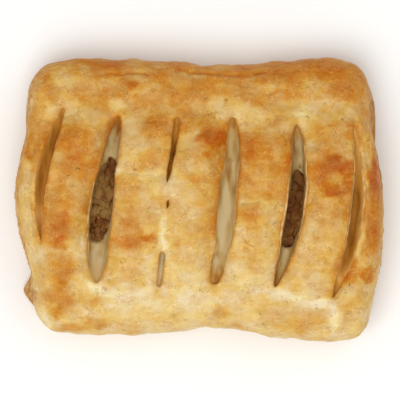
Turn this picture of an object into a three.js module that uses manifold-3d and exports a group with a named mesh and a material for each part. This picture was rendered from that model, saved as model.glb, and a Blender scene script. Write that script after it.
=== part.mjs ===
// A slit-topped puff pastry parcel with a dark crumbly filling, as sold by the piece in a bakery.
// One sheet of dough is wrapped round the filling: its long sides are rolled folds, its short ends are
// cut through the layers, and slits across the top have opened in the oven.
// Millimetres. X runs along the parcel, Y across it and Z up. The origin is under the middle of its base.
import * as THREE from "three";
import { mergeVertices } from "three/addons/utils/BufferGeometryUtils.js";
import Module from "manifold-3d";

// The parcel as a whole
const HALF_LENGTH = 56; // from the middle to a cut end, without the end strips' bulge
const BULGE_HEIGHT = 11; // where the rolled sides reach furthest out
const ROLL_TOP = 24; // top of the rolled sides
const CROWN = 32.6; // top of the middle strips
const ARCH = { drop: 9.4, span: 31, power: 2.4 }; // how the strips arch down to the rolled sides
const CREASE_FILLET = 1.6; // radius of the crease between the strips and a rolled side
const LONG_FALL = { drop: 1.2, span: 45 }; // how the top falls away along the parcel
const END_FALL = { drop: 7, from: 48, to: 61, fade: 70 }; // and how it slopes down over the end strips
const ROLL_START = 30; // from the centre line to where a side starts to roll over
const BASE_INSET = 7; // from the side's furthest reach in to the edge of the flat base
const END_BASE_INSET = 3; // the same at the cut ends
const END_EDGE_RADIUS = 5; // where the top turns down into a cut end
// How square the rolls are above and below the bulge: 2 would be a true ellipse
const ROLL_POWER = 2.3;
const UNDERSIDE_POWER = 2.5;

// The rolled sides seen from above, each drawn in at the waist
const BACK = { reach: 46.4, taper: 0.006, waist: 2.3, waistAt: 8, waistSpan: 22 };
const FRONT = { reach: 45, taper: 0.03, waist: 3.4, waistAt: 6, waistSpan: 17 };

// The cut ends: where they stand, how they slant, the radii of their corners seen from above, the end strip
// that bulges out of each, and the torn flap of the bottom layer that sticks out at one corner
const LEFT_END = {
  side: -1,
  stand: 55.6,
  slant: 0.03,
  backCorner: 13.5,
  frontCorner: 11,
  strip: { reach: 4.7, at: -0.7, span: 23, height: 15 },
  flap: { reach: 3.3, at: -30.2, span: 4.2 },
};
const RIGHT_END = {
  side: 1,
  stand: 55.6,
  slant: -0.004,
  backCorner: 12,
  frontCorner: 10.5,
  strip: { reach: 4.2, at: -6, span: 31.5, height: 15 },
  flap: { reach: 2.4, at: 26, span: 12 },
};
const STRIP_TALL = 13; // height over which an end strip's bulge dies away
const FLAP_TALL = 8; // and a flap's
const END_HOLLOW = { depth: 0.8, height: 7, span: 3.5 }; // where an end is pressed in, low down
const LEAVES = 12; // leaves of dough that show on a cut end
const LEAF_STEP = 0.4; // how far every other leaf stands out

// The slits. middle is the x of the chord's middle, lean how far the back tip lies to the right of the
// front tip, bow how far the middle has been pushed along X, gap the widest opening, skew the share of
// the half length by which the widest place lies towards the front, fullness how pointed the front and
// the back tip are (low is blunt), droops how far the crust droops towards the slit on its left and on
// its right, and floor the height of the cut's bottom. A floor may climb towards the front tip, or
// towards the back tip when the climb is negative, and the valley between the drooping strips may trail
// on past the front tip. Where the filling shows, shows is the range of Y over which it does.
const SLITS = [
  {
    middle: -47.7, lean: 6.6, bow: -3.6, front: -14, back: 29.8,
    gap: 4.6, skew: -0.3, fullness: [0.6, 0.45], droops: [2.2, 0.6], floor: 22.5, climb: 2, trail: 14,
  },
  {
    middle: -29.9, lean: 7.1, bow: -1.7, front: -26.6, back: 27,
    gap: 8.3, skew: 0.22, fullness: [0.42, 0.62], droops: [2.7, 1.5], shows: [-13.8, 13.2],
  },
  {
    middle: -9, lean: 3.2, bow: 0.2, front: 5.4, back: 26.7,
    gap: 2.5, skew: -0.6, fullness: [0.5, 0.3], droops: [1.2, 0.8], floor: 25.5,
  },
  {
    middle: -10.3, lean: 0.4, bow: 0, front: -2.6, back: 0.4,
    gap: 1.1, skew: 0, fullness: [0.4, 0.4], droops: [0.7, 0.5], floor: 28,
  },
  {
    middle: -12.7, lean: 1.2, bow: 0, front: -28, back: -16.8,
    gap: 2.1, skew: 0.2, fullness: [0.4, 0.4], droops: [1, 0.7], floor: 26,
  },
  {
    middle: 7.6, lean: 5.6, bow: 1.3, front: -27.2, back: 26.8,
    gap: 6.8, skew: 0.3, fullness: [0.32, 0.32], droops: [2.7, 1.5], floor: 27.2,
  },
  {
    middle: 27.8, lean: 7, bow: 3.1, front: -28.2, back: 24.6,
    gap: 6.3, skew: 0.05, fullness: [0.55, 0.5], droops: [1.8, 1.8], shows: [-15.8, 10],
  },
  {
    middle: 46.6, lean: 6.9, bow: 4.4, front: -32.2, back: 24.4,
    gap: 4.8, skew: 0.2, fullness: [0.4, 0.55], droops: [1.4, 2], floor: 21.5, climb: -3,
  },
];
const DROOP_SPANS = [3.6, 2.4]; // how far from a slit the crust droops, on its left and on its right
const DROOP_BLEND = 1.2; // how far past a slit's edges one side's droop turns into the other's
const FLOOR_NARROWING = 0.6; // the floor's width as a share of the opening's
const TIP_DEPTH = 2.4; // how deep a slit is at its tips
const FLOOR_ROUNDING = 2; // height over which a floor rounds over to follow the crust down to a tip
// A slit further than this from the middle borders an end strip, whose wall slopes: the slit's floor is
// narrower, and lies against the strip on the other side
const END_SLIT_FROM = 40;
const END_FLOOR_NARROWING = 0.42;
const OPEN_FLOOR = 18; // the cut's height over the filling
const FLOOR_STEP = 2; // length over which the floor climbs from the filling to the dough
const DOUGH_FLOOR = 5; // depth under the crust of the dough that shows past the filling

// The filling
const FILLING = { halfLength: 46, halfWidth: 31, bottom: 5, waist: 9, top: 23.6 };
const FILLING_LUMP = 0.55; // height of its crumbs and lumps
const CLEARANCE = 0.3; // air between the filling and the dough

// The meshes' fineness
const STATIONS = 62;
const END_CROWDING = 0.35; // how much closer the stations stand near the ends, where the crust rounds over
const TOP_STEPS = 12; // from the centre line to the roll
const ROLL_STEPS = 7;
const UNDER_STEPS = 3;
const SLIT_STEPS = 14;
const FILLING_STEPS = { along: 28, around: 24 };

const clamp01 = (value) => Math.min(1, Math.max(0, value));
const smoothstep = (low, high, value) => {
  const t = clamp01((value - low) / (high - low));
  return t * t * (3 - 2 * t);
};
const bell = (offset, span) => Math.exp(-((offset / span) ** 2));
// 1 in the middle and 0 at the span's ends, like a bent strip
const bent = (offset, span) => Math.max(0, 1 - (offset / span) ** 2) ** 1.3;
// The higher of two heights, with a fillet where they meet
const blendedMax = (a, b, fillet) => {
  const share = clamp01(0.5 + (a - b) / (2 * fillet));
  return b + (a - b) * share + fillet * share * (1 - share);
};
// The lower of two heights, rounded off where they meet
const roundedMin = (a, b, rounding) => {
  const overlap = Math.max(rounding - Math.abs(a - b), 0) / rounding;
  return Math.min(a, b) - (overlap * overlap * rounding) / 4;
};

// The slow waves of a hand-rolled dough: amplitude, waves per millimetre along X and Y, and phase
const SWELLS = [
  [0.42, 0.034, 0.021, 0.6],
  [0.34, -0.047, 0.052, 2.1],
  [0.2, 0.083, 0.017, 4.4],
  [0.18, 0.019, 0.091, 1.3],
  [0.14, 0.118, -0.064, 3.2],
  [0.12, -0.071, 0.133, 5.3],
];
function swell(x, y) {
  return SWELLS.reduce((sum, [height, alongX, alongY, phase]) => {
    return sum + height * Math.sin(2 * Math.PI * (alongX * x + alongY * y) + phase);
  }, 0);
}

// How far a rolled side reaches from the centre line
function sideReach(side, x) {
  return side.reach + side.taper * x - side.waist * bell(x - side.waistAt, side.waistSpan);
}

// The dimples of a rolled side, which run slantwise down it
function dimples(x, z) {
  return 0.3 * Math.sin(0.42 * x + 0.14 * z + 2.6) + 0.16 * Math.sin(0.67 * x - 0.2 * z);
}

// Where a slit's centre line and edges run, at the share t of its half length from its middle
function slitAt(slit, t) {
  const y = (slit.front + slit.back) / 2 + (t * (slit.back - slit.front)) / 2;
  const x = slit.middle + (slit.lean / 2) * t + slit.bow * (1 - t * t);
  const skewed = t < -slit.skew ? (t + slit.skew) / (1 - slit.skew) : (t + slit.skew) / (1 + slit.skew);
  const fullness = slit.fullness[t < -slit.skew ? 0 : 1];
  const halfGap = (slit.gap / 2) * Math.max(0, 1 - skewed * skewed) ** fullness;
  return { x, y, halfGap };
}

// How much the crust droops beside the nearest slit
function droop(x, y) {
  let most = 0;
  for (const slit of SLITS) {
    const halfLength = (slit.back - slit.front) / 2;
    const t = (y - slit.front) / halfLength - 1;
    const trail = t < 0 ? (slit.trail ?? 0) / halfLength : 0;
    const fade = 1 - smoothstep(0.8, 1.15 + trail, Math.abs(t));
    if (fade === 0) continue;
    const edge = slitAt(slit, Math.max(-1, Math.min(1, t)));
    const away = Math.max(0, Math.abs(x - edge.x) - edge.halfGap);
    const right = smoothstep(-1, 1, (x - edge.x) / (edge.halfGap + DROOP_BLEND));
    const depth = THREE.MathUtils.lerp(...slit.droops, right);
    most = Math.max(most, depth * fade * bell(away, THREE.MathUtils.lerp(...DROOP_SPANS, right)));
  }
  return most;
}

// Height of the crust over a place, as if no side or end rolled over
function crustHeight(x, y) {
  const arch = CROWN - ARCH.drop * Math.abs(y / ARCH.span) ** ARCH.power;
  const longFall = LONG_FALL.drop * (x / LONG_FALL.span) ** 2;
  const overEnd = smoothstep(END_FALL.from, END_FALL.to, Math.abs(x));
  const endFall = END_FALL.drop * overEnd * (1 - Math.abs(y) / END_FALL.fade);
  return blendedMax(arch, ROLL_TOP, CREASE_FILLET) - longFall - endFall - droop(x, y) + swell(x, y);
}

// How far a cut end reaches from the middle, over the place y, z
function endReach(end, y, z) {
  const acrossStrip = bent(y - end.strip.at, end.strip.span);
  const strip = end.strip.reach * acrossStrip * bell(z - end.strip.height, STRIP_TALL);
  const flap = end.flap.reach * bell(y - end.flap.at, end.flap.span) * bell(z, FLAP_TALL);
  const hollow = END_HOLLOW.depth * bell(z - END_HOLLOW.height, END_HOLLOW.span);
  return end.stand + end.slant * y + strip + flap - hollow;
}

// One ring over the parcel, from the edge of its base on the front, over the top, to the back's.
// station is the ring's place along X before the ends bulge.
function ring(station) {
  const end = station < 0 ? LEFT_END : RIGHT_END;
  const into = (radius) => clamp01((Math.abs(station) - (HALF_LENGTH - radius)) / radius);
  const shrunk = (radius) => radius * (1 - Math.sqrt(Math.max(0, 1 - into(radius) ** 2)));
  const points = [];
  const half = TOP_STEPS + ROLL_STEPS + UNDER_STEPS;
  for (let i = -half; i <= half; i++) {
    const steps = Math.abs(i);
    const [side, corner] = i < 0 ? [FRONT, end.frontCorner] : [BACK, end.backCorner];
    const reach = sideReach(side, station) - shrunk(corner);
    const inset = THREE.MathUtils.lerp(BASE_INSET, END_BASE_INSET, into(corner));
    let y;
    let rise; // share of the height above the bulge, or below it where negative
    if (steps <= TOP_STEPS) {
      y = (ROLL_START * steps) / TOP_STEPS;
      rise = 1;
    } else if (steps <= TOP_STEPS + ROLL_STEPS) {
      const angle = (Math.PI / 2) * (1 - (steps - TOP_STEPS) / ROLL_STEPS);
      y = ROLL_START + (reach - ROLL_START) * Math.cos(angle) ** (2 / ROLL_POWER);
      rise = Math.sin(angle) ** (2 / ROLL_POWER);
    } else {
      const angle = (Math.PI / 2) * ((steps - TOP_STEPS - ROLL_STEPS) / UNDER_STEPS);
      y = reach - inset + inset * Math.cos(angle) ** (2 / UNDERSIDE_POWER);
      rise = -(Math.sin(angle) ** (2 / UNDERSIDE_POWER));
    }
    const top = crustHeight(station, Math.sign(i) * y) - shrunk(END_EDGE_RADIUS);
    const z = rise >= 0 ? BULGE_HEIGHT + (top - BULGE_HEIGHT) * rise : BULGE_HEIGHT * (1 + rise);
    y += steps > TOP_STEPS ? dimples(station, z) * (1 - Math.abs(rise)) : 0;
    points.push(endMoved(end, station, Math.sign(i) * y, Math.max(0, z)));
  }
  return points;
}

// A point of a ring, moved along X as the parcel's end bulges
function endMoved(end, station, y, z) {
  const share = smoothstep(HALF_LENGTH - 18, HALF_LENGTH, Math.abs(station));
  const x = station + end.side * share * (endReach(end, y, z) - HALF_LENGTH);
  return new THREE.Vector3(x, y, z);
}

// The rows of a cut end, from the outline down to the edge of the base: each row is a leaf of dough
function endRows(end, outline) {
  const last = outline.length - 1;
  const baseFront = outline[0].y;
  const baseBack = outline[last].y;
  const rows = [outline];
  for (let k = 1; k <= LEAVES; k++) {
    const share = k / LEAVES;
    rows.push(
      outline.map((point, j) => {
        const y = THREE.MathUtils.lerp(point.y, THREE.MathUtils.lerp(baseFront, baseBack, j / last), share);
        const z = THREE.MathUtils.lerp(point.z, 0, share);
        const fromSide = Math.min(j, last - j) / (UNDER_STEPS + ROLL_STEPS);
        const ragged = 1 + 0.45 * Math.sin(0.37 * y + 1.9 * k);
        const leaf = k === LEAVES ? 0 : (k % 2 ? -1 : 1) * LEAF_STEP * ragged * clamp01(fromSide);
        return new THREE.Vector3(end.side * (endReach(end, y, z) + leaf), y, z);
      }),
    );
  }
  return rows;
}

// Triangles between rows of points. They face the way a right-handed screw goes when it is turned from the
// points' direction to the rows', or the other way when flipped.
function weave(rows, flip, triangles) {
  for (let i = 0; i + 1 < rows.length; i++) {
    for (let j = 0; j + 1 < rows[i].length; j++) {
      const [a, b, c, d] = [rows[i][j], rows[i][j + 1], rows[i + 1][j + 1], rows[i + 1][j]];
      triangles.push(...(flip ? [[a, c, b], [a, d, c]] : [[a, b, c], [a, c, d]]));
    }
  }
}

// Triangles that fill a flat outline at one height, facing down
function fillBelow(outline, triangles) {
  const flat = outline.map((point) => new THREE.Vector2(point.x, point.y));
  for (const [a, b, c] of THREE.ShapeUtils.triangulateShape(flat, [])) {
    triangles.push([outline[a], outline[c], outline[b]]);
  }
}

const wasm = await Module();
wasm.setup();

// A closed skin of triangles as a solid that can be joined and cut
function solidFrom(triangles) {
  const positions = triangles.flat().flatMap((point) => [point.x, point.y, point.z]);
  const loose = new THREE.BufferGeometry();
  loose.setAttribute("position", new THREE.Float32BufferAttribute(positions, 3));
  const merged = mergeVertices(loose, 1e-3);
  const corners = [];
  const index = merged.index.array;
  for (let i = 0; i < index.length; i += 3) {
    const [a, b, c] = [index[i], index[i + 1], index[i + 2]];
    if (a !== b && b !== c && c !== a) corners.push(a, b, c);
  }
  return new wasm.Manifold(
    new wasm.Mesh({
      numProp: 3,
      vertProperties: merged.attributes.position.array,
      triVerts: new Uint32Array(corners),
    }),
  );
}

function geometryFrom(solid) {
  const { numProp, vertProperties, triVerts } = solid.getMesh();
  const positions = new Float32Array((vertProperties.length / numProp) * 3);
  for (let i = 0; i < positions.length / 3; i++) {
    positions.set(vertProperties.subarray(i * numProp, i * numProp + 3), i * 3);
  }
  const geometry = new THREE.BufferGeometry();
  geometry.setAttribute("position", new THREE.BufferAttribute(positions, 3));
  geometry.setIndex(new THREE.BufferAttribute(triVerts, 1));
  geometry.computeVertexNormals();
  return geometry;
}

// The whole parcel before it is slit
function parcelSolid() {
  const rings = [];
  for (let i = 0; i <= STATIONS; i++) {
    const along = (2 * i) / STATIONS - 1;
    const crowded = along + (END_CROWDING * Math.sin(Math.PI * along)) / Math.PI;
    rings.push(ring(HALF_LENGTH * Math.max(-1, Math.min(1, crowded))));
  }
  const triangles = [];
  weave(rings, true, triangles);
  const leftRows = endRows(LEFT_END, rings[0]);
  const rightRows = endRows(RIGHT_END, rings[STATIONS]);
  weave(leftRows, false, triangles);
  weave(rightRows, true, triangles);
  const last = rings[0].length - 1;
  const base = [
    ...leftRows[LEAVES].slice().reverse(),
    ...rings.slice(1).map((points) => points[0]),
    ...rightRows[LEAVES].slice(1),
    ...rings.slice(1, -1).reverse().map((points) => points[last]),
  ];
  fillBelow(base, triangles);
  return solidFrom(triangles);
}

// Height of a slit's bottom, at the share t of its half length from its middle
function slitFloor(slit, t, y, surface) {
  let floor;
  if (slit.shows) {
    const beyond = Math.max(slit.shows[0] - y, y - slit.shows[1]);
    const past = smoothstep(-FLOOR_STEP / 2, FLOOR_STEP / 2, beyond);
    floor = THREE.MathUtils.lerp(OPEN_FLOOR, surface - DOUGH_FLOOR, past);
  } else {
    const climb = slit.climb ?? 0;
    floor = slit.floor + Math.abs(climb) * smoothstep(0.05, 0.5, -Math.sign(climb) * t);
  }
  const tip = surface - TIP_DEPTH;
  return THREE.MathUtils.lerp(roundedMin(floor, tip, FLOOR_ROUNDING), tip, Math.abs(t) ** 5);
}

// What a slit takes out of the crust: a blade from tip to tip, upright above the crust and narrowing
// below it
function slitCutter(slit) {
  const rows = [];
  for (let i = 0; i <= SLIT_STEPS; i++) {
    const t = -Math.cos((Math.PI * i) / SLIT_STEPS);
    const { x, y, halfGap } = slitAt(slit, t);
    const half = Math.max(0.25, halfGap);
    const surface = crustHeight(x, y);
    const floor = slitFloor(slit, t, y, surface);
    const bordersEnd = Math.abs(slit.middle) > END_SLIT_FROM;
    const floorHalf = half * (bordersEnd ? END_FLOOR_NARROWING : FLOOR_NARROWING);
    const floorAt = x - (bordersEnd ? Math.sign(slit.middle) * (half - floorHalf) : 0);
    const above = CROWN + 6;
    rows.push([
      new THREE.Vector3(x - half, y, above),
      new THREE.Vector3(x + half, y, above),
      new THREE.Vector3(x + half, y, surface),
      new THREE.Vector3(floorAt + floorHalf, y, floor),
      new THREE.Vector3(floorAt - floorHalf, y, floor),
      new THREE.Vector3(x - half, y, surface),
      new THREE.Vector3(x - half, y, above),
    ]);
  }
  const triangles = [];
  weave(rows, false, triangles);
  const [front, back] = [rows[0], rows[SLIT_STEPS]];
  for (let k = 1; k <= 4; k++) {
    triangles.push([front[0], front[k + 1], front[k]], [back[0], back[k], back[k + 1]]);
  }
  return solidFrom(triangles);
}

// The filling: a low lumpy loaf, grown all round by a clearance when it is the hollow that holds it
function fillingSolid(grow) {
  const { along, around } = FILLING_STEPS;
  const halfLength = FILLING.halfLength + grow;
  const rows = [];
  for (let i = 0; i <= along; i++) {
    const u = -Math.cos((Math.PI * i) / along);
    const x = halfLength * u;
    const girth = Math.max(0, 1 - Math.abs(u) ** 5) ** 0.4;
    const row = [];
    for (let j = 0; j <= around; j++) {
      const angle = (2 * Math.PI * (j % around)) / around;
      const y = (FILLING.halfWidth + grow) * girth * Math.cos(angle);
      const up = Math.sin(angle);
      const height = up > 0 ? FILLING.top - FILLING.waist + grow : FILLING.waist - FILLING.bottom + grow;
      const crumb = Math.sin(0.9 * x + 1.3 * y) * Math.cos(1.1 * y - 0.5 * x);
      const lumps = FILLING_LUMP * girth * Math.max(0, up) * crumb;
      const fullness = up > 0 ? 1 : 0.5;
      const z = FILLING.waist + Math.sign(up) * height * girth * Math.abs(up) ** fullness + lumps;
      row.push(new THREE.Vector3(x, y, z));
    }
    rows.push(row);
  }
  const triangles = [];
  weave(rows, false, triangles);
  return solidFrom(triangles);
}

function bakedMesh(name, solid, colour, roughness) {
  const material = new THREE.MeshStandardMaterial({ color: colour, roughness, metalness: 0 });
  material.name = name;
  const mesh = new THREE.Mesh(geometryFrom(solid), material);
  mesh.name = name;
  return mesh;
}

function buildPastry() {
  let crust = parcelSolid();
  for (const slit of SLITS) crust = crust.subtract(slitCutter(slit));
  crust = crust.subtract(fillingSolid(CLEARANCE));
  const pastry = new THREE.Group();
  pastry.name = "puff_pastry";
  pastry.add(bakedMesh("crust", crust, 0xd9a35c, 0.55));
  pastry.add(bakedMesh("filling", fillingSolid(0), 0x6b4220, 0.5));
  return pastry;
}

export default buildPastry();
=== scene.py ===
# A slit-topped puff pastry parcel with a dark crumbly filling, photographed from straight above.
# Shapes are worked out in millimetres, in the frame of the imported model, and made in metres.
import math
from dataclasses import dataclass
from functools import partial
from itertools import product
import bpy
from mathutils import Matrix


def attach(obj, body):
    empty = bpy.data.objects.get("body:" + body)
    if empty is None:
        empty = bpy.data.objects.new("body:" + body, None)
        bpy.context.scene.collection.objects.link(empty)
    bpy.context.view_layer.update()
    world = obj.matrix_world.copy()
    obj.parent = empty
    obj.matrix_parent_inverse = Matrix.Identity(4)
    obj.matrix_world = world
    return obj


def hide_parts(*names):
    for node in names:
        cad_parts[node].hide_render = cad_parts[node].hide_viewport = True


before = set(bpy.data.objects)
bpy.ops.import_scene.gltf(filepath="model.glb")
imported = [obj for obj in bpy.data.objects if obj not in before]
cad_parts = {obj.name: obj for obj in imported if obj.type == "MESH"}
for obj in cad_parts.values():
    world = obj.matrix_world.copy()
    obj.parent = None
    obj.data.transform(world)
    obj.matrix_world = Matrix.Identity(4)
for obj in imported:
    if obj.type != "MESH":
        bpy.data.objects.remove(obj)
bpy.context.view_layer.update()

from types import SimpleNamespace

import bpy
import numpy as np

MM = 0.001

# The parcel as a whole, as the solids have it
HALF_LENGTH = 56.0  # from the middle to a cut end, without the end strips' bulge
BULGE_HEIGHT = 11.0  # where the rolled sides reach furthest out
ROLL_TOP = 24.0
CROWN = 32.6  # top of the middle strips
ARCH_DROP, ARCH_SPAN, ARCH_POWER = 9.4, 31.0, 2.4  # how the strips arch down to the rolled sides
CREASE_FILLET = 1.6
LONG_FALL, LONG_SPAN = 1.2, 45.0  # how the top falls away along the parcel
END_FALL, END_FALL_FROM, END_FALL_TO, END_FALL_FADE = 7.0, 48.0, 61.0, 70.0
ROLL_START = 30.0  # from the centre line to where a side starts to roll over
BASE_INSET, END_BASE_INSET = 7.0, 3.0
END_PULL = 18.0  # how far from an end its bulge pulls the places along
END_EDGE_RADIUS = 5.0
END_ROUNDING = 1.0
ROLL_POWER, UNDERSIDE_POWER = 2.3, 2.5

# The rolled sides: reach, taper, depth of the waist, where the waist is and its span
BACK = SimpleNamespace(reach=46.4, taper=0.006, waist=2.3, waist_at=8.0, waist_span=22.0)
FRONT = SimpleNamespace(reach=45.0, taper=0.03, waist=3.4, waist_at=6.0, waist_span=17.0)

# The cut ends: where they stand, their slant, corner radii, bulging strip and torn flap of the bottom layer
LEFT_END = SimpleNamespace(
    stand=55.6, slant=0.03, back_corner=13.5, front_corner=11.0,
    strip=(4.7, -0.7, 23.0), flap=(3.3, -30.2, 4.2),
)
RIGHT_END = SimpleNamespace(
    stand=55.6, slant=-0.004, back_corner=12.0, front_corner=10.5,
    strip=(4.2, -6.0, 31.5), flap=(2.4, 26.0, 12.0),
)
STRIP_HEIGHT, STRIP_TALL, FLAP_TALL = 15.0, 13.0, 8.0
HOLLOW_DEPTH, HOLLOW_HEIGHT, HOLLOW_TALL = 0.8, 7.0, 3.5
LEAVES = 12  # rows of leaves of dough over a cut end
LEAF_STEP = 0.45


@dataclass
class Slit:
    """One slit of the top. It ends in the filling, where that shows, or else on a floor of dough."""

    middle: float  # x of the middle of its chord
    lean: float  # how far its back tip lies to the right of its front tip
    bow: float
    front: float  # y of its front tip
    back: float
    gap: float  # where it is widest
    skew: float  # how far to the front that is, as a share of its half length
    fullness: tuple  # how pointed the front and the back tip are
    droops: tuple  # how much the crust droops on its left and on its right
    lips: tuple  # how far its left and its right lip round over
    brim: float = 0.0  # how far down the left lip the skin reaches
    floor: float = 0.0
    climb: float = 0.0  # how much the floor climbs to the front, or to the back when negative
    trail: float = 0.0  # how far the droop trails on past the front tip
    shows: tuple = ()  # from where to where along Y the filling shows
    browned: bool = False  # whether its dough browned all the way down


SLITS = [
    Slit(
        -47.7, 6.6, -3.6, -14.0, 29.8, gap=4.6, skew=-0.3, fullness=(0.6, 0.45),
        droops=(2.2, 0.6), lips=(1.2, 0.5), floor=22.5, climb=2.0, trail=14.0, browned=True,
    ),
    Slit(
        -29.9, 7.1, -1.7, -26.6, 27.0, gap=8.3, skew=0.22, fullness=(0.42, 0.62),
        droops=(2.7, 1.5), lips=(2.8, 0.9), brim=1.0, shows=(-13.8, 13.2),
    ),
    Slit(
        -9.0, 3.2, 0.2, 5.4, 26.7, gap=2.5, skew=-0.6, fullness=(0.5, 0.3),
        droops=(1.2, 0.8), lips=(1.0, 0.8), floor=25.5, browned=True,
    ),
    Slit(
        -10.3, 0.4, 0.0, -2.6, 0.4, gap=1.1, skew=0.0, fullness=(0.4, 0.4),
        droops=(0.7, 0.5), lips=(0.8, 0.8), floor=28.0, browned=True,
    ),
    Slit(
        -12.7, 1.2, 0.0, -28.0, -16.8, gap=2.1, skew=0.2, fullness=(0.4, 0.4),
        droops=(1.0, 0.7), lips=(1.0, 0.8), floor=26.0,
    ),
    Slit(
        7.6, 5.6, 1.3, -27.2, 26.8, gap=6.8, skew=0.3, fullness=(0.32, 0.32),
        droops=(2.7, 1.5), lips=(2.4, 1.2), brim=0.3, floor=27.2,
    ),
    Slit(
        27.8, 7.0, 3.1, -28.2, 24.6, gap=6.3, skew=0.05, fullness=(0.55, 0.5),
        droops=(1.8, 1.8), lips=(1.0, 1.2), brim=0.2, shows=(-15.8, 10.0),
    ),
    Slit(
        46.6, 6.9, 4.4, -32.2, 24.4, gap=4.8, skew=0.2, fullness=(0.4, 0.55),
        droops=(1.4, 2.0), lips=(0.8, 2.4), floor=21.5, climb=-3.0, browned=True,
    ),
]
END_SLIT_FROM = 40.0  # a slit further out than this borders an end strip, whose wall slopes
TIP_DEPTH = 2.4  # how deep a slit is at its tips
LEAST_HALF_GAP = 0.28
FLOOR_NARROWING, END_FLOOR_NARROWING = 0.6, 0.42  # the floor's width as a share of the opening's
OPEN_FLOOR = 18.0  # lower than the filling, so that the filling shows
SPINDLE_LEAN = 0.25  # what shows of the filling crosses its slit from the left in front to the right behind
SPINDLE_WIDTH = 1.12  # as a share of the slit's width
DOUGH_FLOOR = 5.0  # how deep the dough round the open part lies
DROOP_SPANS = (3.6, 2.4)  # how far from a slit the crust droops, on its left and on its right
LIP_BLEND = 1.2  # half the width over which one lip's shape turns into the other's, past a slit's tips
FLOOR_FILLET, TIP_FILLET = 1.6, 2.0

# The slow waves of a hand-rolled dough: amplitude, waves per millimetre along X and Y, and phase
SWELLS = [
    (0.42, 0.034, 0.021, 0.6),
    (0.34, -0.047, 0.052, 2.1),
    (0.2, 0.083, 0.017, 4.4),
    (0.18, 0.019, 0.091, 1.3),
    (0.14, 0.118, -0.064, 3.2),
    (0.12, -0.071, 0.133, 5.3),
]
# The dimples along the rolled sides: amplitude, radians per millimetre along X and Z, and phase
DIMPLES = [(0.3, 0.42, 0.14, 2.6), (0.16, 0.67, -0.2, 0.0)]
DIMPLED_HEIGHT = 13.0  # how far above and below the bulge they fade out

# The filling and the air round it
FILLING = SimpleNamespace(half_length=46.0, half_width=31.0, bottom=5.0, waist=9.0, top=23.6)
CLEARANCE = 0.3

VOXEL = 0.5
CRUST_TRIANGLES = 190000


def clamp01(value):
    return np.clip(value, 0.0, 1.0)


def smoothstep(low, high, value):
    t = clamp01((value - low) / (high - low))
    return t * t * (3 - 2 * t)


def bell(offset, span):
    return np.exp(-((offset / span) ** 2))


def bent(offset, span):
    """1 in the middle and 0 at the span's ends, like a bent strip."""
    return np.maximum(0, 1 - (offset / span) ** 2) ** 1.3


def rounded_max(a, b, size):
    """The higher of two fields, with the corner between them rounded off."""
    overlap = np.maximum(size - np.abs(a - b), 0) / size
    return np.maximum(a, b) + overlap * overlap * size / 4


LATTICE = 64
LATTICES = {}
LATTICE_SHIFT = 500.37  # keeps the parcel's middle off the lattice's own planes


def grain(x, y, z, size, seed):
    """Smooth random relief from -1 to 1 whose lumps are about that many millimetres across."""
    if seed not in LATTICES:
        table = np.random.default_rng(seed).uniform(-1, 1, (LATTICE,) * 3)
        LATTICES[seed] = table.astype(np.float32)
    table = LATTICES[seed]
    corners, shares = [], []
    for value in (x, y, z):
        scaled = np.asarray(value, dtype=np.float32) / size + LATTICE_SHIFT
        whole = np.floor(scaled)
        part = scaled - whole
        corners.append(whole.astype(np.int64))
        shares.append(part * part * (3 - 2 * part))
    total = 0
    for steps in product((0, 1), repeat=3):
        weight = 1
        for share, step in zip(shares, steps):
            weight = weight * (share if step else 1 - share)
        place = tuple((corner + step) % LATTICE for corner, step in zip(corners, steps))
        total = total + weight * table[place]
    return total


def roughened(start, x, y, z, layers):
    """Adds grains of relief, each of a height, a size and a seed."""
    for height, size, seed in layers:
        start = start + height * grain(x, y, z, size, seed)
    return start


def swell(x, y):
    return sum(
        height * np.sin(2 * np.pi * (along_x * x + along_y * y) + phase)
        for height, along_x, along_y, phase in SWELLS
    )


def side_reach(side, x):
    return side.reach + side.taper * x - side.waist * bell(x - side.waist_at, side.waist_span)


def dimples(x, z):
    relief = sum(height * np.sin(along * x + rise * z + phase) for height, along, rise, phase in DIMPLES)
    return relief * (1 - clamp01(np.abs(z - BULGE_HEIGHT) / DIMPLED_HEIGHT))


def slit_line(cut, y):
    """A slit's share of its half length, its centre line and half its gap, over the places y.
    Past its tips the half gap is minus the distance to the tip."""
    half_length = (cut.back - cut.front) / 2
    t = (y - (cut.front + cut.back) / 2) / half_length
    inside = np.clip(t, -1, 1)
    x = cut.middle + cut.lean / 2 * inside + cut.bow * (1 - inside * inside)
    skewed = (inside + cut.skew) / np.where(inside < -cut.skew, 1 - cut.skew, 1 + cut.skew)
    fullness = np.where(inside < -cut.skew, cut.fullness[0], cut.fullness[1])
    half_gap = cut.gap / 2 * np.maximum(0, 1 - skewed * skewed) ** fullness
    half_gap = np.where(np.abs(t) > 1, -(np.abs(t) - 1) * half_length, np.maximum(half_gap, LEAST_HALF_GAP))
    return t, x, half_gap


def droop(x, y):
    """How much the crust droops beside the nearest slit."""
    most = np.zeros(np.broadcast(x, y).shape, np.float32)
    for cut in SLITS:
        t, line, half_gap = slit_line(cut, y)
        half = np.maximum(half_gap, 0)
        away = np.maximum(0, np.abs(x - line) - half)
        right = smoothstep(-1, 1, (x - line) / (half + LIP_BLEND))
        span = DROOP_SPANS[0] + (DROOP_SPANS[1] - DROOP_SPANS[0]) * right
        deepest = cut.droops[0] + (cut.droops[1] - cut.droops[0]) * right
        trailing = cut.trail / (cut.back - cut.front) * 2 * (t < 0)
        fade = 1 - smoothstep(0.8, 1.15 + trailing, np.abs(t))
        most = np.maximum(most, deepest * fade * bell(away, span))
    return most


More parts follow.
